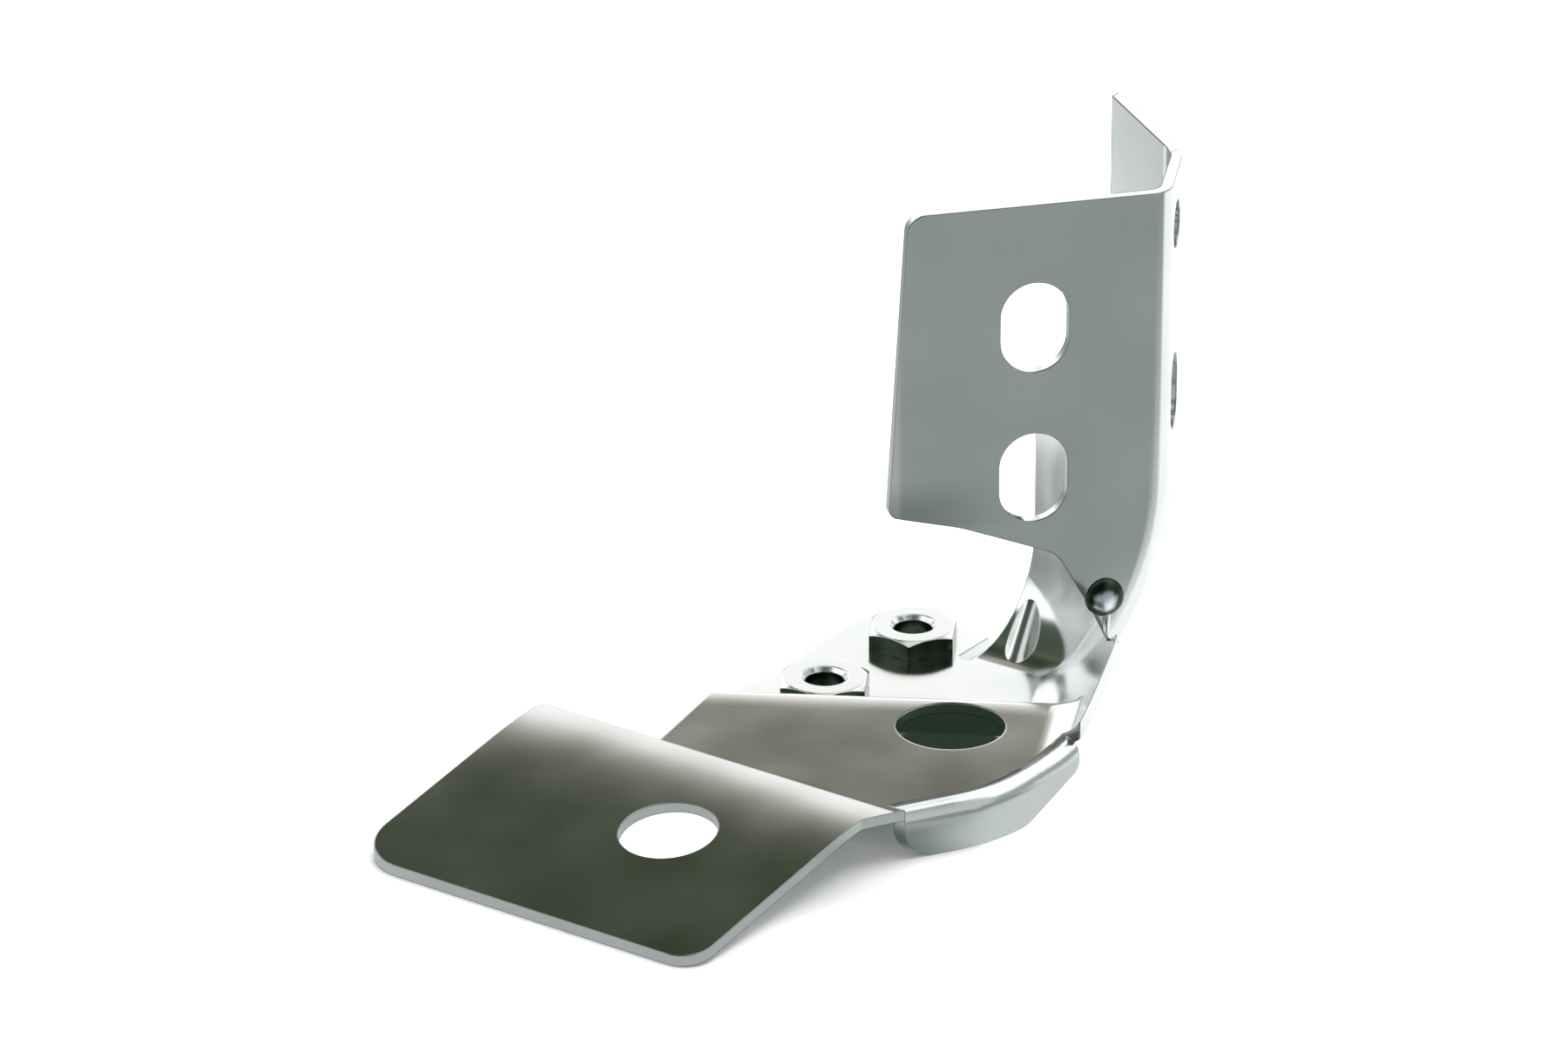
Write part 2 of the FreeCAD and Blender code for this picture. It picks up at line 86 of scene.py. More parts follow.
def ramp(tree, source, stops):
    """Turn a value into a colour through stops of position and grey or colour."""
    node = add_node(tree, "ShaderNodeValToRGB")
    elements = node.color_ramp.elements
    while len(elements) < len(stops):
        elements.new(0.5)
    for element, (position, colour) in zip(elements, stops):
        element.position = position
        element.color = (*colour, 1.0) if isinstance(colour, tuple) else (colour,) * 3 + (1.0,)
    join(tree, source, node.inputs["Fac"])
    return node.outputs["Color"]


def calculate(tree, operation, first, second=None, third=None, clamp=False):
    """Add a Math node; each input is a number or a socket."""
    node = add_node(tree, "ShaderNodeMath", operation=operation, use_clamp=clamp)
    for socket, value in zip(node.inputs, (first, second, third)):
        if value is None:
            continue
        if isinstance(value, (int, float)):
            socket.default_value = value
        else:
            join(tree, value, socket)
    return node.outputs[0]


def blend(tree, share, first, second):
    """Mix two colours, each a colour or a socket, by a share from 0 to 1."""
    node = add_node(tree, "ShaderNodeMix", data_type="RGBA")
    join(tree, share, node.inputs[0])
    for socket, colour in ((node.inputs[6], first), (node.inputs[7], second)):
        if isinstance(colour, tuple):
            socket.default_value = (*colour, 1.0)
        else:
            join(tree, colour, socket)
    return node.outputs[2]


print("node helpers ready")

# %% [markdown]
# ## Shares of a place
# Most marks belong to a place on the part or on the bench. A share says how much a place
# belongs to a mark: 1 inside, 0 outside, with a smooth edge between. Shares come from how far
# a point lies along a line or from a centre, and shares multiply where several must hold.


# %% Share helpers
def along_line(tree, place, direction, origin=ORIGIN):
    """Return how far a place lies along a direction from an origin."""
    shift = add_node(tree, "ShaderNodeVectorMath", operation="SUBTRACT")
    join(tree, place, shift.inputs[0])
    shift.inputs[1].default_value = origin
    dot = add_node(tree, "ShaderNodeVectorMath", operation="DOT_PRODUCT")
    join(tree, shift.outputs["Vector"], dot.inputs[0])
    dot.inputs[1].default_value = direction
    return dot.outputs["Value"]


def how_far(tree, place, centre):
    """Return the distance of a place from a centre."""
    node = add_node(tree, "ShaderNodeVectorMath", operation="DISTANCE")
    join(tree, place, node.inputs[0])
    node.inputs[1].default_value = centre
    return node.outputs["Value"]


def oval_radius(tree, first, second):
    """Return the length of a level vector made of two values."""
    pair = add_node(tree, "ShaderNodeCombineXYZ")
    join(tree, first, pair.inputs["X"])
    join(tree, second, pair.inputs["Y"])
    length = add_node(tree, "ShaderNodeVectorMath", operation="LENGTH")
    join(tree, pair.outputs["Vector"], length.inputs[0])
    return length.outputs["Value"]


def fade(tree, value, start, end):
    """Rise smoothly from 0 to 1 as a value goes from a start to an end."""
    node = add_node(tree, "ShaderNodeMapRange", interpolation_type="SMOOTHSTEP")
    join(tree, value, node.inputs["Value"])
    node.inputs["From Min"].default_value = start
    node.inputs["From Max"].default_value = end
    return node.outputs["Result"]


def product(tree, *shares):
    """Multiply shares, each a socket or a number."""
    result = shares[0]
    for share in shares[1:]:
        result = calculate(tree, "MULTIPLY", result, share)
    return result


print("share helpers ready")

# %% [markdown]
# ## Patterns and metals
# Every finish here is a metal with some noise in it. Noise is always read from Object
# coordinates, in metres, so it stays on the part and its scale is a real one: a scale of 70
# gives patches of about 14 mm. A Mapping node stretches a pattern before it is read.

# %% Pattern helpers
EDGE_ROUNDING = 0.0003


def stretched(tree, place, scale, turn=ORIGIN):
    """Turn and stretch places before a pattern reads them."""
    node = add_node(tree, "ShaderNodeMapping")
    join(tree, place, node.inputs["Vector"])
    node.inputs["Rotation"].default_value = turn
    node.inputs["Scale"].default_value = scale
    return node.outputs["Vector"]


def noise_value(tree, place, scale, detail):
    """Return a noise from 0 to 1."""
    node = add_node(tree, "ShaderNodeTexNoise")
    join(tree, place, node.inputs["Vector"])
    node.inputs["Scale"].default_value = scale
    node.inputs["Detail"].default_value = detail
    return node.outputs["Fac"]


def bevelled_normal(tree, samples):
    """Return the normal with rounded edges."""
    node = add_node(tree, "ShaderNodeBevel", samples=samples)
    node.inputs["Radius"].default_value = EDGE_ROUNDING
    return node.outputs["Normal"]


def bump(tree, height, normal, distance, strength):
    """Lean a normal by the slope of a height."""
    node = add_node(tree, "ShaderNodeBump")
    node.inputs["Distance"].default_value = distance
    node.inputs["Strength"].default_value = strength
    join(tree, height, node.inputs["Height"])
    join(tree, normal, node.inputs["Normal"])
    return node.outputs["Normal"]


def new_metal(name):
    """Start a metal and return its material, tree, shader and places."""
    material = bpy.data.materials.new(name)
    material.use_nodes = True
    tree = material.node_tree
    shader = tree.nodes["Principled BSDF"]
    shader.inputs["Metallic"].default_value = 1.0
    return material, tree, shader, add_node(tree, "ShaderNodeTexCoord").outputs["Object"]


print("edges are rounded by", EDGE_ROUNDING * 1000.0, "mm")

# %% [markdown]
# ## Places on the sheet
# The press marks belong to known places: the platform, the ridge where the tab starts, the
# step's crest and the slotted flange. The bracket's foot is drawn on its own axes, turned from
# the frame's, so those axes are named once. `foot_right` runs along the rear wall and
# `foot_back` runs from the tab to that wall.

# %% Axes of the foot
FOOT_TURN = math.radians(-50.0)
CREST_TURN = math.radians(30.7)
FLANGE_FACE = 0.01051
foot_right = Vector((math.cos(FOOT_TURN), math.sin(FOOT_TURN), 0.0))
foot_back = Vector((-math.sin(FOOT_TURN), math.cos(FOOT_TURN), 0.0))
ridge_place = foot_back * -0.0248
crest_back = foot_back * math.cos(CREST_TURN) - foot_right * math.sin(CREST_TURN)
crest_place = foot_right * 0.0070 + foot_back * 0.0146
print("ridge at", [round(v, 4) for v in ridge_place], "crest at", [round(v, 4) for v in crest_place])

# %% [markdown]
# From these axes come the shares that the finish needs. The platform lies behind the ridge
# and before the crest, at its own height. The tab lies before the ridge and faces up. The
# gathered corner is where web, wall and foot meet: there the press had too much metal, and
# the sheet puckered. The two numbers of a fade are metres along its line: where the share
# begins to rise and where it is full.

# %% Shares of the sheet
PLATFORM_MIDDLE = 0.001
PLATFORM_SPREAD = 0.0022
LEAF_EDGE = foot_right + UP * 1.6


def sheet_places(tree, place, normal):
    """Return the shares of the sheet by name, and two measures along it."""
    above = along_line(tree, place, UP)
    along = along_line(tree, place, foot_back, ridge_place)
    behind_ridge = fade(tree, along, -0.0003, 0.0003)
    before_ridge = calculate(tree, "SUBTRACT", 1.0, behind_ridge)
    before_crest = fade(tree, along_line(tree, place, -crest_back, crest_place), 0.0, 0.0060)
    level = calculate(tree, "COMPARE", above, PLATFORM_MIDDLE, PLATFORM_SPREAD)
    facing_up = fade(tree, along_line(tree, normal, UP), 0.95, 0.975)
    to_web = fade(tree, along_line(tree, place, LEAF_EDGE), -0.0108, -0.0092)
    to_wall = fade(tree, along_line(tree, place, foot_back), 0.0290, 0.0320)
    under_top = product(tree, behind_ridge, fade(tree, above, 0.0, -0.0020))
    return {
        "above": above,
        "along": along,
        "platform": product(tree, behind_ridge, before_crest, level),
        "tab": product(tree, before_ridge, facing_up),
        "gathered": product(tree, to_web, to_wall, fade(tree, above, 0.027, 0.016)),
        "under_top": under_top,
        "lip": product(tree, under_top, before_crest),
    }


print("platform at", PLATFORM_MIDDLE * 1000.0, "mm, give or take", PLATFORM_SPREAD * 1000.0, "mm")

# %% [markdown]
# ## The tones of the sheet
# Bright plating is pale grey with a faint haze. Sheared edges get a darker tone, painted shade
# for the dark lines along them, except low down, where the edge melts into the bench's white.
# Four places get a tone of their own, all painted light: the gathered corner is paler, a painted
# highlight, and the lip's first part, the flange's lower edge and the tab's front are darker,
# painted shade. The tones stand in for reflections seen there in the photograph, which the
# painted surroundings don't give.

# %% Tones
SHEET_DARK, SHEET_LIGHT = (0.70, 0.73, 0.72), (0.78, 0.80, 0.79)
# Painted light: the edge tone and the lip's, flange's and tab's tones are painted shade, and the
# gathered corner's tone is a painted highlight.
EDGE_SHADE_TONE = (0.30, 0.32, 0.31)
GATHERED_HIGHLIGHT_TONE = (0.93, 0.95, 0.96)
LIP_SHADE_TONE = (0.24, 0.28, 0.27)
FLANGE_SHADE_TONE = (0.30, 0.31, 0.27)
TAB_SHADE_TONE = (0.36, 0.41, 0.36)


def sheet_tones(tree, place, places, haze, bevelled):
    """Return the colour of the sheet."""
    above = places["above"]
    lip_shade_share = fade(tree, along_line(tree, place, across), 0.006, -0.006)
    on_flange = calculate(tree, "COMPARE", along_line(tree, place, (0.0, 1.0, 0.0)), FLANGE_FACE, 0.0008)
    flange_shade_band = product(tree, fade(tree, above, 0.0325, 0.0262), fade(tree, above, 0.0230, 0.0250))
    flange_shade_left = fade(tree, along_line(tree, place, (1.0, 0.0, 0.0)), 0.014, -0.004)
    tab_front_shade = fade(tree, places["along"], -0.030, -0.058)
    colour = ramp(tree, haze, [(0.3, SHEET_DARK), (0.7, SHEET_LIGHT)])
    # A painted highlight on the gathered corner, and painted shade on the lip, the flange and the tab.
    for share, tone in (
            (places["gathered"], GATHERED_HIGHLIGHT_TONE),
            (product(tree, places["lip"], lip_shade_share, 0.8), LIP_SHADE_TONE),
            (product(tree, on_flange, flange_shade_band, flange_shade_left, 0.6), FLANGE_SHADE_TONE),
            (product(tree, places["tab"], tab_front_shade, 0.5), TAB_SHADE_TONE)):
        colour = blend(tree, share, colour, tone)

    # Sheared edges get painted shade, which is left off low down, where the edge melts into the bench's
    # white.
    turning = add_node(tree, "ShaderNodeVectorMath", operation="DOT_PRODUCT")
    join(tree, bevelled, turning.inputs[0])
    join(tree, add_node(tree, "ShaderNodeNewGeometry").outputs["Normal"], turning.inputs[1])
    at_edge = ramp(tree, turning.outputs["Value"], [(0.90, 1.0), (0.99, 0.0)])
    high_up = calculate(tree, "SUBTRACT", 1.0, places["under_top"])
    return blend(tree, product(tree, at_edge, high_up), colour, EDGE_SHADE_TONE)


print("tones of the sheet:", SHEET_DARK, "to", SHEET_LIGHT)

# %% [markdown]
# ## The shape that only light shows
# A mirror shows slopes that are far too small to model. The platform is dished by a few
# degrees. The tab rolls over from the ridge in a long curve, which the finish works out from
# the distance to the ridge, because a mesh of flat faces would break the mirror image into
# bands. The whole sheet swells a little, and the gathered corner has fine folds.

# %% Slopes
PLATFORM_LEAN = -0.07
TAB_REACH = 0.055
TAB_SLOPE = math.radians(12.0)
TAB_ROLL = [(0.0, 0.0), (0.05, 0.08), (0.17, 0.40), (0.33, 0.74), (0.50, 0.80), (1.0, 0.92)]
SWELL_SCALE, SWELL_HEIGHT, SWELL_SHARE = 38.0, 0.0007, 0.35
FOLD_STRETCH = (420.0, 420.0, 90.0)
FOLD_TURN = (0.0, math.radians(25.0), 0.0)
FOLD_PUSH = 0.35


def pushed(tree, normal, direction, amount):
    """Lean a normal along a direction by an amount."""
    push = add_node(tree, "ShaderNodeVectorMath", operation="SCALE")
    push.inputs[0].default_value = direction
    join(tree, amount, push.inputs["Scale"])
    leaning = add_node(tree, "ShaderNodeVectorMath", operation="ADD")
    join(tree, normal, leaning.inputs[0])
    join(tree, push.outputs["Vector"], leaning.inputs[1])
    return leaning.outputs["Vector"]


def sheet_normal(tree, place, places, bevelled):
    """Return the normal of the sheet with its slopes, swells and folds."""
    down_tab = calculate(tree, "MULTIPLY", places["along"], -1.0 / TAB_REACH, clamp=True)
    slope = product(tree, ramp(tree, down_tab, TAB_ROLL), TAB_SLOPE, places["tab"])
    lean = calculate(tree, "MULTIPLY_ADD", places["platform"], PLATFORM_LEAN,
                     calculate(tree, "MULTIPLY", slope, -1.0))
    flattened = add_node(tree, "ShaderNodeMix", data_type="VECTOR")
    join(tree, places["tab"], flattened.inputs[0])
    join(tree, bevelled, flattened.inputs[4])
    flattened.inputs[5].default_value = UP
    waves = noise_value(tree, place, SWELL_SCALE, 1.0)
    swollen = bump(tree, waves, flattened.outputs[1], SWELL_HEIGHT, SWELL_SHARE)
    folds = noise_value(tree, stretched(tree, place, FOLD_STRETCH, FOLD_TURN), 1.0, 1.0)
    sideways = product(tree, folds, FOLD_PUSH, places["gathered"])
    leaning = pushed(tree, pushed(tree, swollen, foot_back, lean), across, sideways)
    faced = add_node(tree, "ShaderNodeVectorMath", operation="NORMALIZE")
    join(tree, leaning, faced.inputs[0])
    return faced.outputs["Vector"]


print("the tab rolls over to", round(math.degrees(TAB_SLOPE) * TAB_ROLL[-1][1], 1), "degrees")

# %% [markdown]
# ## The plating
# The finish is a thin bright plating over rolled steel. It is a mirror with faults: the
# steel's grain makes fine streaks, and handling leaves a thin haze. A metallic Principled
# shader carries them in its roughness, next to the tones and slopes of the cells above. The
# gathered corner is rougher, because stretched plating goes dull.

# %% Plated sheet
GRAIN_STRETCH = (260.0, 2600.0, 2600.0)
HAZE_SCALE = 70.0
ROUGHEST = {"base": 0.09, "haze": 0.10, "grain": 0.02, "gathered": 0.34}


def plated_sheet():
    """Build the finish of the pressed sheet."""
    material, tree, shader, place = new_metal("bright_plated_sheet")
    grain = noise_value(tree, stretched(tree, place, GRAIN_STRETCH), 1.0, 3.0)
    haze = noise_value(tree, place, HAZE_SCALE, 2.0)
    bevelled = bevelled_normal(tree, samples=8)
    places = sheet_places(tree, place, bevelled)
    rough = calculate(tree, "MULTIPLY_ADD", haze, ROUGHEST["haze"], ROUGHEST["base"])
    rough = calculate(tree, "MULTIPLY_ADD", grain, ROUGHEST["grain"], rough)
    rough = calculate(tree, "MULTIPLY_ADD", places["gathered"], ROUGHEST["gathered"], rough)
    join(tree, rough, shader.inputs["Roughness"])
    join(tree, sheet_tones(tree, place, places, haze, bevelled), shader.inputs["Base Color"])
    join(tree, sheet_normal(tree, place, places, bevelled), shader.inputs["Normal"])
    return material


sheet_finish = plated_sheet()
print("finish:", sheet_finish.name, "with", len(sheet_finish.node_tree.nodes), "nodes")

# %% [markdown]
# ## The nuts' plating
# The nuts are plated too, but they are cold formed and turned rather than rolled. Their faces
# carry fine rings round the bore and mirror brightly. Their sides are painted dark, painted
# shade for the dark reflections that the sides show; the True Normal tells them apart: it
# points level on a side.

# %% Plated nut
RING_SCALE = 900.0
NUT_HAZE_SCALE = 400.0
FACE_STOPS = [(0.3, (0.74, 0.77, 0.76)), (0.7, (0.84, 0.86, 0.85))]
# The colours for the nuts' sides are painted shade.
SIDE_SHADE_STOPS = [(0.3, (0.018, 0.028, 0.018)), (0.75, (0.07, 0.09, 0.06))]


def plated_nut(name, centre):
    """Build the finish of a nut, with turned rings round its own centre."""
    material, tree, shader, place = new_metal(name)
    centred = add_node(tree, "ShaderNodeMapping")
    join(tree, place, centred.inputs["Vector"])
    centred.inputs["Location"].default_value = -centre
    rings = add_node(tree, "ShaderNodeTexWave", wave_type="RINGS", rings_direction="Z")
    join(tree, centred.outputs["Vector"], rings.inputs["Vector"])
    rings.inputs["Scale"].default_value = RING_SCALE
    rings.inputs["Distortion"].default_value = 0.8
    haze = noise_value(tree, place, NUT_HAZE_SCALE, 4.0)
    facing = add_node(tree, "ShaderNodeSeparateXYZ")
    join(tree, add_node(tree, "ShaderNodeNewGeometry").outputs["True Normal"], facing.inputs["Vector"])
    # The nuts' sides get painted shade.
    side = ramp(tree, calculate(tree, "ABSOLUTE", facing.outputs["Z"]), [(0.25, 1.0), (0.5, 0.0)])
    colour = blend(tree, side, ramp(tree, haze, FACE_STOPS), ramp(tree, haze, SIDE_SHADE_STOPS))
    join(tree, colour, shader.inputs["Base Color"])
    join(tree, calculate(tree, "MULTIPLY_ADD", haze, 0.14, 0.12), shader.inputs["Roughness"])
    turned = bump(tree, rings.outputs["Fac"], bevelled_normal(tree, samples=6), 0.00001, 0.15)
    join(tree, turned, shader.inputs["Normal"])
    return material


nut_finishes = {}
for nut_name in ("weld_nut_rear", "weld_nut_front"):
    low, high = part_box(nut_name)
    nut_finishes[nut_name] = plated_nut("plated_" + nut_name, (low + high) / 2.0)
print("nut finishes:", sorted(nut_finishes))

# %% [markdown]
# The frame's pieces keep their meshes. Only the material in each of their slots is set.

# %% Put the finishes on the frame's pieces
for node_name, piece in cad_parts.items():
    finish = nut_finishes.get(node_name, sheet_finish)
    for slot in piece.material_slots:
        slot.material = finish
print("finished:", [(n, p.material_slots[0].material.name) for n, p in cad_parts.items()])

# %% [markdown]
# ## The bead at the flange's tip
# Where the slotted flange runs out, a small bead sits on its outer face, with a thin bright
# tail along the cut edge. Melted metal draws itself into a low dome, so each bead is a quarter
# of an oval turned round its own axis, with its rim sunk into the sheet and its round form
# pushed about a little by noise. The bead is bright on top and painted dark round its rim,
# painted shade for the dark ring round it.

# %% Bead's finish
BEAD_PLACE = (0.0233, 0.0123)
BEAD_BRIGHT, BEAD_RIM_SHADE = (0.82, 0.86, 0.90), (0.035, 0.055, 0.035)


def rim_shaded_bead():
    """Build the bead's finish: bright on top, with painted shade towards its rim."""
    material, tree, shader, place = new_metal("weld_bead")
    top = (BEAD_PLACE[0] - 0.0003, FLANGE_FACE - 0.001, BEAD_PLACE[1] - 0.0002)
    speckle = noise_value(tree, place, 900.0, 3.0)
    reach = calculate(tree, "MULTIPLY_ADD", speckle, 0.0012, how_far(tree, place, top))
    # Painted shade darkens the bead towards its rim.
    rim = fade(tree, reach, 0.0014, 0.0024)
    join(tree, blend(tree, rim, BEAD_BRIGHT, BEAD_RIM_SHADE), shader.inputs["Base Color"])
    join(tree, calculate(tree, "MULTIPLY_ADD", speckle, 0.2, 0.15), shader.inputs["Roughness"])
    return material


bead_finish = rim_shaded_bead()
print("finish:", bead_finish.name)

# %% [markdown]
# The Spin operator turns the quarter oval into a dome, and a scale along the height makes the
# dome oval. The dome stands on the flange's outer face and rides with the sheet. Its noise
# depends on the place alone, read three times at shifted places for three directions. The
# ready-made noise_vector shifts its places by chance, so each run would give another bead.
# Merging leaves points and faces in a chance order too, so both are sorted along one line.

# %% Beads
BEAD_HALF_SIZE = (0.0026, 0.0028)
BEAD_STAND = 0.0013
TAIL_PLACE = (0.0236, 0.0089)
TAIL_HALF_SIZE = (0.0006, 0.0024)
TAIL_STAND = 0.0005
BEAD_SUNK = 0.0004
BEAD_UNEVEN = 0.00012
NOISE_PER_METRE = 350.0
SORT_LINE = Vector((1.0, 37.0, 1009.0))
NOISE_SHIFTS = ((0.0, 0.0, 0.0), (17.3, 5.1, -8.9), (-4.7, 23.9, 11.3))
PROFILE_STEPS = 12
TURN_STEPS = 40


def weld_bead(name, place, half_size, stand, finish):
    """Turn a low dome on the flange's outer face and ride it with the sheet."""
    form = bmesh.new()
    half_width, half_height = half_size
    rim = []
    for step in range(PROFILE_STEPS + 1):
        angle = math.radians(90.0) * step / PROFILE_STEPS
        depth = BEAD_SUNK - (stand + BEAD_SUNK) * math.cos(angle)
        rim.append(form.verts.new((half_width * math.sin(angle), depth, 0.0)))
    profile = [form.edges.new(pair) for pair in zip(rim, rim[1:])]
    bmesh.ops.spin(form, geom=rim + profile, cent=ORIGIN, axis=(0.0, 1.0, 0.0),
                   angle=math.radians(360.0), steps=TURN_STEPS, use_merge=True)
    bmesh.ops.remove_doubles(form, verts=form.verts, dist=1e-6)
    bmesh.ops.scale(form, verts=form.verts, vec=(1.0, 1.0, half_height / half_width))
    for vert in form.verts:
        spot = vert.co * NOISE_PER_METRE
        push = [noise.noise(spot + Vector(shift)) for shift in NOISE_SHIFTS]
        vert.co += Vector(push) * BEAD_UNEVEN
    bmesh.ops.translate(form, verts=form.verts, vec=(place[0], FLANGE_FACE, place[1]))
    bmesh.ops.recalc_face_normals(form, faces=form.faces)
    form.verts.sort(key=lambda vert: vert.co.dot(SORT_LINE))
    form.faces.sort(key=lambda face: face.calc_center_median().dot(SORT_LINE))
    mesh = bpy.data.meshes.new(name)
    form.to_mesh(mesh)
    form.free()
    mesh.shade_smooth()
    mesh.materials.append(finish)
    bead = bpy.data.objects.new(name, mesh)
    bpy.context.scene.collection.objects.link(bead)
    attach(bead, "root")
    print(name, len(mesh.polygons), "faces")


weld_bead("tip_bead", BEAD_PLACE, BEAD_HALF_SIZE, BEAD_STAND, bead_finish)
weld_bead("tip_tail", TAIL_PLACE, TAIL_HALF_SIZE, TAIL_STAND, sheet_finish)

# %% [markdown]
# ## The bench
# The bracket lies on a white sheet. The camera and the metal see it differently: the camera
# sees plain white with a soft shadow, and the metal sees a bench that is bright in places and
# falls off to grey. Light Path tells the two kinds of ray apart. A few helpers mix and add
# the light that each kind gets.

# %% Shader helpers
EMISSION = "ShaderNodeEmission"
BACKGROUND = "ShaderNodeBackground"
WHITE = (1.0, 1.0, 1.0)


def glowing(tree, kind, colour, strength=1.0):
    """Add a shader that gives light by itself; a colour or a strength may be a socket."""
    node = add_node(tree, kind)
    for name, value in (("Color", colour), ("Strength", strength)):
        if isinstance(value, tuple):
            node.inputs[name].default_value = (*value, 1.0)
        elif isinstance(value, float):
            node.inputs[name].default_value = value
        else:
            join(tree, value, node.inputs[name])
    return node.outputs[0]


def mixed(tree, share, first, second):
    """Mix two shaders by a share."""
    node = add_node(tree, "ShaderNodeMixShader")
    join(tree, share, node.inputs["Fac"])
    join(tree, first, node.inputs[1])
    join(tree, second, node.inputs[2])
    return node.outputs["Shader"]


def added(tree, first, second):
    """Add the light of two shaders."""
    node = add_node(tree, "ShaderNodeAddShader")
    join(tree, first, node.inputs[0])
    join(tree, second, node.inputs[1])
    return node.outputs["Shader"]


print("shader helpers ready")

# %% [markdown]
# What the metal sees of the bench decides how the metal's upright faces look, and all of it is a
# painted reflection. Close to the part the bench is dark at the left and pale at the right, which
# shades the lip. Towards the camera it is grey, which the flange shows. To the rear right it is
# bright, for the web, and a pale strip behind serves the wall. Elsewhere it falls off slowly, so
# the part still has contrast from its other sides. Right under the platform it is nearly black,
# painted shade.

# %% The bench in the mirror
BENCH_GLOW = 1.25


def bench_in_mirror(tree, place, towards, sideways, distance):
    """Return the light that mirror rays get from the bench."""
    to_front = calculate(tree, "DIVIDE", towards, distance)
    to_right = calculate(tree, "DIVIDE", sideways, distance)
    ahead = ramp(tree, to_front, [(0.20, 0.0), (0.45, 1.0)])
    grey = ramp(tree, to_right, [(0.12, (0.38, 0.40, 0.395)), (0.30, (0.265, 0.295, 0.29))])
    field = ramp(tree, calculate(tree, "MULTIPLY", distance, 3.0, clamp=True), [
        (0.10, (0.70, 0.73, 0.73)), (0.25, (0.50, 0.53, 0.53)), (0.60, (0.26, 0.29, 0.29))])
    rear_right = calculate(tree, "MULTIPLY_ADD", to_front, -0.698, product(tree, to_right, 0.716))
    beyond = blend(tree, ahead, field, grey)
    beyond = blend(tree, fade(tree, rear_right, 0.66, 0.82), beyond, (0.94, 0.97, 0.97))

    from_front = along_line(tree, place, (0.0, 1.0, 0.0))
    from_left = along_line(tree, place, (1.0, 0.0, 0.0))
    strip = product(tree, fade(tree, from_front, 0.0, 0.012), fade(tree, from_front, 0.075, 0.060),
                    fade(tree, from_left, -0.01, -0.02))
    beyond = blend(tree, strip, beyond, (0.82, 0.85, 0.85))

    near = ramp(tree, calculate(tree, "MULTIPLY_ADD", sideways, 50.0, 0.5), [
        (0.10, (0.18, 0.23, 0.21)), (0.70, (0.58, 0.61, 0.61))])
    far = ramp(tree, calculate(tree, "MULTIPLY", distance, 10.0, clamp=True), [(0.25, 0.0), (0.34, 1.0)])
    # Painted shade: right under the platform the mirrored bench is nearly black.
    under = ramp(tree, oval_radius(
        tree, along_line(tree, place, foot_right / 0.0225, foot_right * -0.0062),
        along_line(tree, place, foot_back / 0.018, foot_back * -0.002)), [(0.85, 1.0), (1.0, 0.0)])
    colour = blend(tree, under, blend(tree, far, near, beyond), (0.02, 0.035, 0.026))
    return glowing(tree, EMISSION, colour, BENCH_GLOW)


print("the bench gives mirror rays a strength of", BENCH_GLOW)

# %% [markdown]
# The camera sees white paint with a little light of its own. Painted light brightens the bench
# below the tab's hole and to the right of the part, where the photograph's shadow ends. Below
# the platform's hole the bench gets a painted dark patch, so that the hole looks dark too. Under
# the tab, painted shade makes the shade a little deeper than the lamp alone makes it, most of
# all where the lip begins. Far off the bench turns into pure white, and its edge can't be seen.


# %% The bench in the camera
def on_bench(right, back):
    """Return a point on the bench, given across and away from the camera."""
    return across * right + away * back + UP * BENCH_LEVEL


def bench_in_camera(tree, place, paint, sideways, distance):
    """Return the light that camera rays get from the bench."""
    # Painted light: a pool below the tab's hole, and a glow to the right of the part.
    below_tab_hole = calculate(tree, "MULTIPLY", how_far(tree, place, on_bench(-0.0356, -0.0155)), 50.0)
    lit = ramp(tree, below_tab_hole, [(0.40, 1.0), (0.62, 0.0)])
    clear = fade(tree, sideways, 0.002, 0.012)
    glow = glowing(tree, EMISSION, WHITE, calculate(tree, "MAXIMUM", lit, clear))
    white = added(tree, added(tree, paint, glowing(tree, EMISSION, WHITE, 0.12)), glow)

    # Painted shade: a dark patch on the bench below the platform's hole.
    below_hole = fade(tree, oval_radius(
        tree, along_line(tree, place, across / 0.0088),
        along_line(tree, place, away / 0.0135, away * 0.004)), 1.0, 0.85)
    hole_shaded = mixed(tree, below_hole, white, glowing(tree, EMISSION, (0.026, 0.043, 0.034)))

    # Painted shade under the tab, deepest where the lip begins.
    by_lip = fade(tree, how_far(tree, place, on_bench(-0.0095, -0.0130)), 0.010, 0.002)
    by_tab = fade(tree, how_far(tree, place, on_bench(-0.0190, -0.0290)), 0.018, 0.004)
    shade = calculate(tree, "MAXIMUM", product(tree, by_lip, 0.7), product(tree, by_tab, 0.3))
    shaded = mixed(tree, shade, hole_shaded, glowing(tree, EMISSION, (0.13, 0.18, 0.16)))
    return mixed(tree, fade(tree, distance, 0.18, 0.45), shaded, glowing(tree, EMISSION, WHITE))


print("below the tab's hole:", [round(v, 4) for v in on_bench(-0.0356, -0.0155)])

# %% [markdown]
# Both kinds of light meet in one material on a large disc. Light that has already been
# scattered once gets plain white paint, so the strange colours for mirror rays don't tint
# anything else.


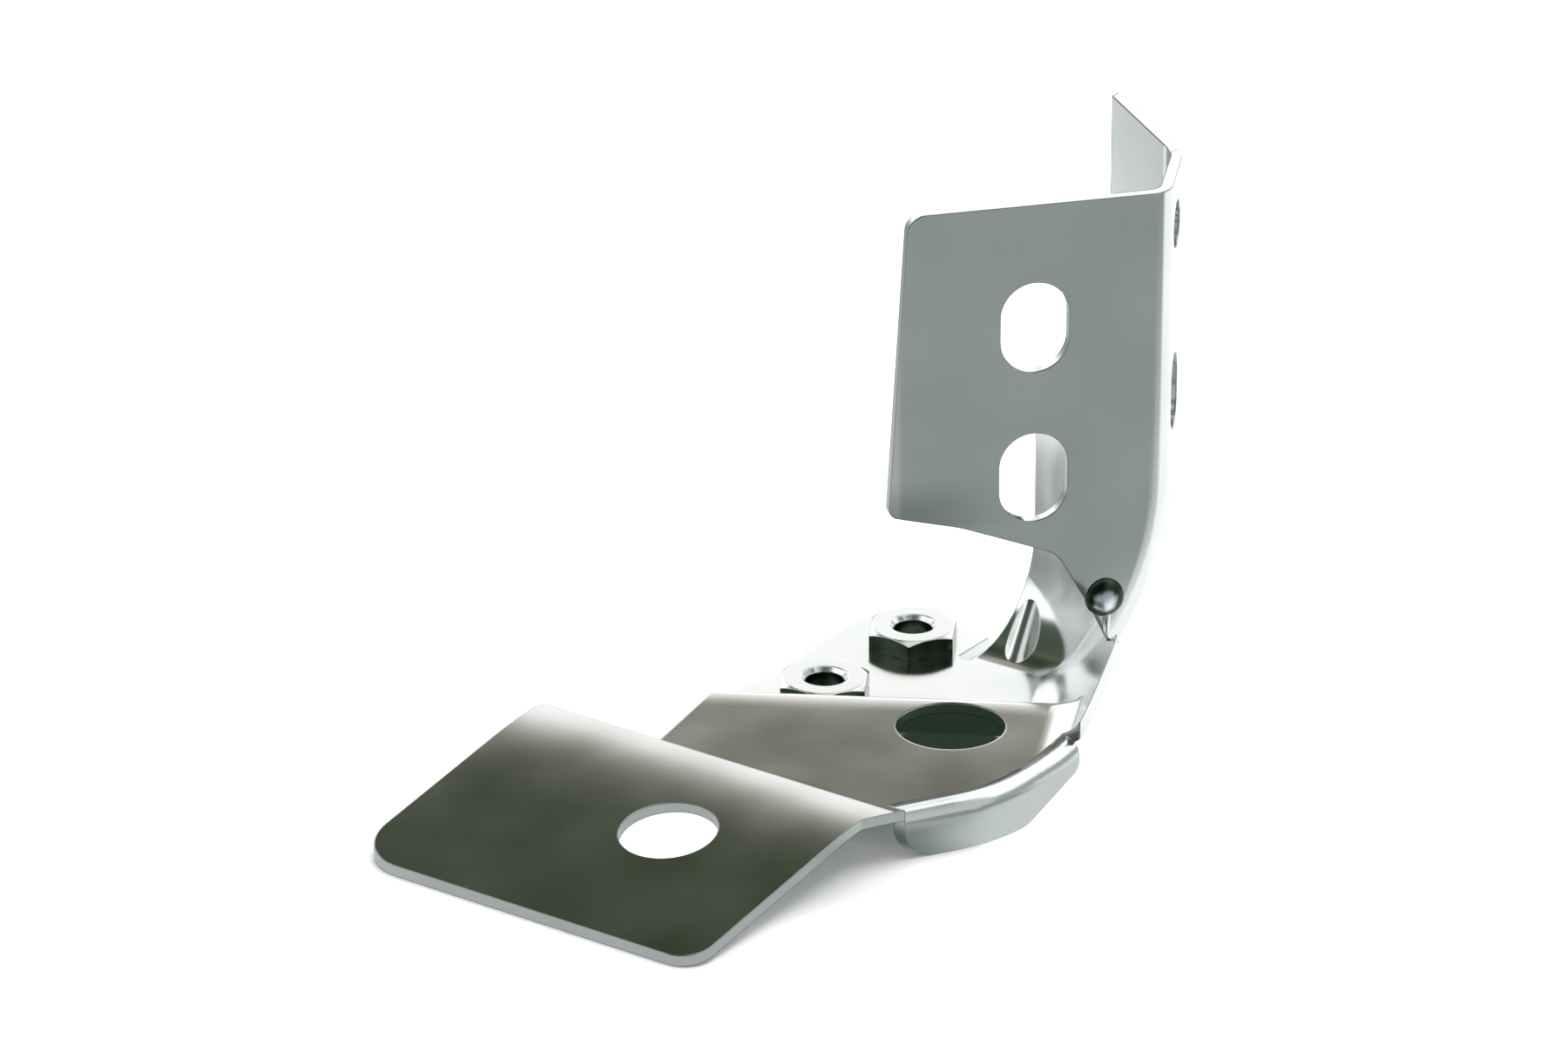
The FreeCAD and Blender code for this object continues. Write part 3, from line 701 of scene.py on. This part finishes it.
# %% Bench
def white_bench():
    """Build the bench's white sheet."""
    mesh = bpy.data.meshes.new("bench_floor")
    form = bmesh.new()
    bmesh.ops.create_circle(form, cap_ends=True, segments=96, radius=3.0)
    bmesh.ops.translate(form, verts=form.verts, vec=(0.0, 0.0, BENCH_LEVEL))
    form.to_mesh(mesh)
    form.free()
    floor = bpy.data.objects.new("bench_floor", mesh)
    bpy.context.scene.collection.objects.link(floor)

    material = bpy.data.materials.new("white_bench")
    material.use_nodes = True
    tree = material.node_tree
    painted = tree.nodes["Principled BSDF"]
    painted.inputs["Base Color"].default_value = (0.93, 0.93, 0.93, 1.0)
    painted.inputs["Roughness"].default_value = 0.9
    painted.inputs["Specular IOR Level"].default_value = 0.1
    paint = painted.outputs["BSDF"]
    rays = add_node(tree, "ShaderNodeLightPath").outputs
    place = add_node(tree, "ShaderNodeTexCoord").outputs["Object"]
    towards = along_line(tree, place, -away)
    sideways = along_line(tree, place, across)
    distance = calculate(tree, "SQRT", calculate(
        tree, "MULTIPLY_ADD", towards, towards, product(tree, sideways, sideways)))

    seen = bench_in_camera(tree, place, paint, sideways, distance)
    mirrored = bench_in_mirror(tree, place, towards, sideways, distance)
    not_scattered = calculate(tree, "LESS_THAN", rays["Diffuse Depth"], 0.5)
    by_mirror = product(tree, rays["Is Glossy Ray"], not_scattered)
    surface = mixed(tree, by_mirror, mixed(tree, rays["Is Camera Ray"], paint, seen), mirrored)
    join(tree, surface, tree.nodes["Material Output"].inputs["Surface"])
    mesh.materials.append(material)
    return floor


floor = white_bench()
print("bench at", round(BENCH_LEVEL, 4), "m")

# %% [markdown]
# ## The room
# What level metal mirrors is the room. It is white low down at the back, and goes through
# brown grey to a greenish black higher up, which is what the platform and the tab show. A
# dark arm reaches to the left. Low at the sides the horizon is grey, straight overhead the
# room is pale again, and behind the camera it is dark at the left and grey at the right. The
# world shader paints that by direction only, so it stays put when the camera moves. The
# camera itself sees plain white.

# %% Colours of the room
ROOM_GLOW = 1.42
PLAIN_GLOW = 0.45
REAR_STOPS = [
    (0.35, WHITE), (0.47, (0.45, 0.42, 0.37)), (0.58, (0.18, 0.165, 0.135)),
    (0.72, (0.08, 0.078, 0.056)), (0.84, (0.036, 0.048, 0.026)), (0.97, (0.006, 0.02, 0.004))]
FRONT_STOPS = [(0.25, (0.06, 0.075, 0.065)), (0.6, (0.45, 0.47, 0.46))]
HORIZON_TONE = (0.30, 0.33, 0.33)
ZENITH_TONE = (0.62, 0.64, 0.64)
ARM_TONE = (0.05, 0.066, 0.046)


def room_colour(tree, look):
    """Return the room's colour in a direction."""
    high_back = along_line(tree, look, away * 0.682 + UP * 0.731)
    low_back = along_line(tree, look, away * 0.94 + UP * 0.342)
    high_left = along_line(tree, look, away * 0.30 - across * 0.44 + UP * 0.845)
    front = along_line(tree, look, away * -0.978 + UP * 0.208)
    upwards = along_line(tree, look, UP)
    colour = ramp(tree, calculate(tree, "MULTIPLY_ADD", high_back, 10.0, -9.0, clamp=True), REAR_STOPS)
    aside = product(tree, fade(tree, low_back, 0.86, 0.72), fade(tree, upwards, 0.55, 0.28))
    for share, tone in (
            (aside, HORIZON_TONE),
            (fade(tree, upwards, 0.92, 0.98), ZENITH_TONE),
            (fade(tree, high_left, 0.925, 0.955), ARM_TONE),
            (fade(tree, front, 0.40, 0.50), ramp(tree, along_line(tree, look, across), FRONT_STOPS))):
        colour = blend(tree, share, colour, tone)
    return colour


print("the room has", len(REAR_STOPS), "tones at the back")

# %% [markdown]
# The world gives each kind of ray its own light: mirror rays get the painted room, camera
# rays get white, and all others get a plain dim white that fills the shadows.


# %% World
def studio_world():
    """Paint the room by direction."""
    world = bpy.data.worlds.new("studio_room")
    bpy.context.scene.world = world
    world.use_nodes = True
    tree = world.node_tree
    tree.nodes.clear()
    rays = add_node(tree, "ShaderNodeLightPath").outputs
    look = add_node(tree, "ShaderNodeTexCoord").outputs["Generated"]
    mirrored = glowing(tree, BACKGROUND, room_colour(tree, look), ROOM_GLOW)
    plain = glowing(tree, BACKGROUND, WHITE, PLAIN_GLOW)
    lit = mixed(tree, rays["Is Glossy Ray"], plain, mirrored)
    seen = mixed(tree, rays["Is Camera Ray"], lit, glowing(tree, BACKGROUND, WHITE))
    join(tree, seen, add_node(tree, "ShaderNodeOutputWorld").inputs["Surface"])
    return world


world = studio_world()
print("world:", world.name)

# %% [markdown]
# ## Lamp
# One wide soft lamp overhead lights the sheet and makes the shadow under the tab. It is
# hidden from mirror rays, because a square lamp mirrored in the plating would show as a
# bright patch that the real one doesn't have.


# %% Lamp
def soft_lamp(name, place, size, power):
    """Add a square area lamp that looks at the bracket."""
    data = bpy.data.lights.new(name, "AREA")
    data.shape = "SQUARE"
    data.size = size
    data.energy = power
    lamp = bpy.data.objects.new(name, data)
    lamp.location = place
    lamp.rotation_mode = "QUATERNION"
    lamp.rotation_quaternion = (-Vector(place)).to_track_quat("-Z", "Y")
    lamp.visible_glossy = False
    bpy.context.scene.collection.objects.link(lamp)
    return lamp


key = soft_lamp("overhead_softbox", away * 0.22 + across * 0.16 + UP * 0.85, size=0.9, power=9.5)
print("lamp:", key.name, key.data.energy, "W")

# %% [markdown]
# ## Camera
# The photograph shows almost no perspective, which a long lens from more than a metre away
# gives. The aim point and the lens are set so that the bracket fills the frame as it does
# in the photograph.

# %% Camera
CAMERA_REACH = 1.2
FRAME_WIDTH = 0.1967
SENSOR_WIDTH = 36.0
CAMERA_AIM = Vector((-0.0219, -0.0001, 0.0323))


def long_lens_camera():
    """Add the camera at the photograph's angle."""
    data = bpy.data.cameras.new("photo_camera")
    data.sensor_width = SENSOR_WIDTH
    data.lens = SENSOR_WIDTH * CAMERA_REACH / FRAME_WIDTH
    data.clip_start = 0.1
    data.clip_end = 20.0
    camera = bpy.data.objects.new("photo_camera", data)
    look = away * math.cos(CAMERA_DOWN) - UP * math.sin(CAMERA_DOWN)
    camera.location = CAMERA_AIM - look * CAMERA_REACH
    camera.rotation_mode = "QUATERNION"
    camera.rotation_quaternion = look.to_track_quat("-Z", "Y")
    bpy.context.scene.collection.objects.link(camera)
    bpy.context.scene.camera = camera
    return camera


camera = long_lens_camera()
bpy.context.scene.view_settings.view_transform = "Standard"
print("lens", round(camera.data.lens, 1), "mm")
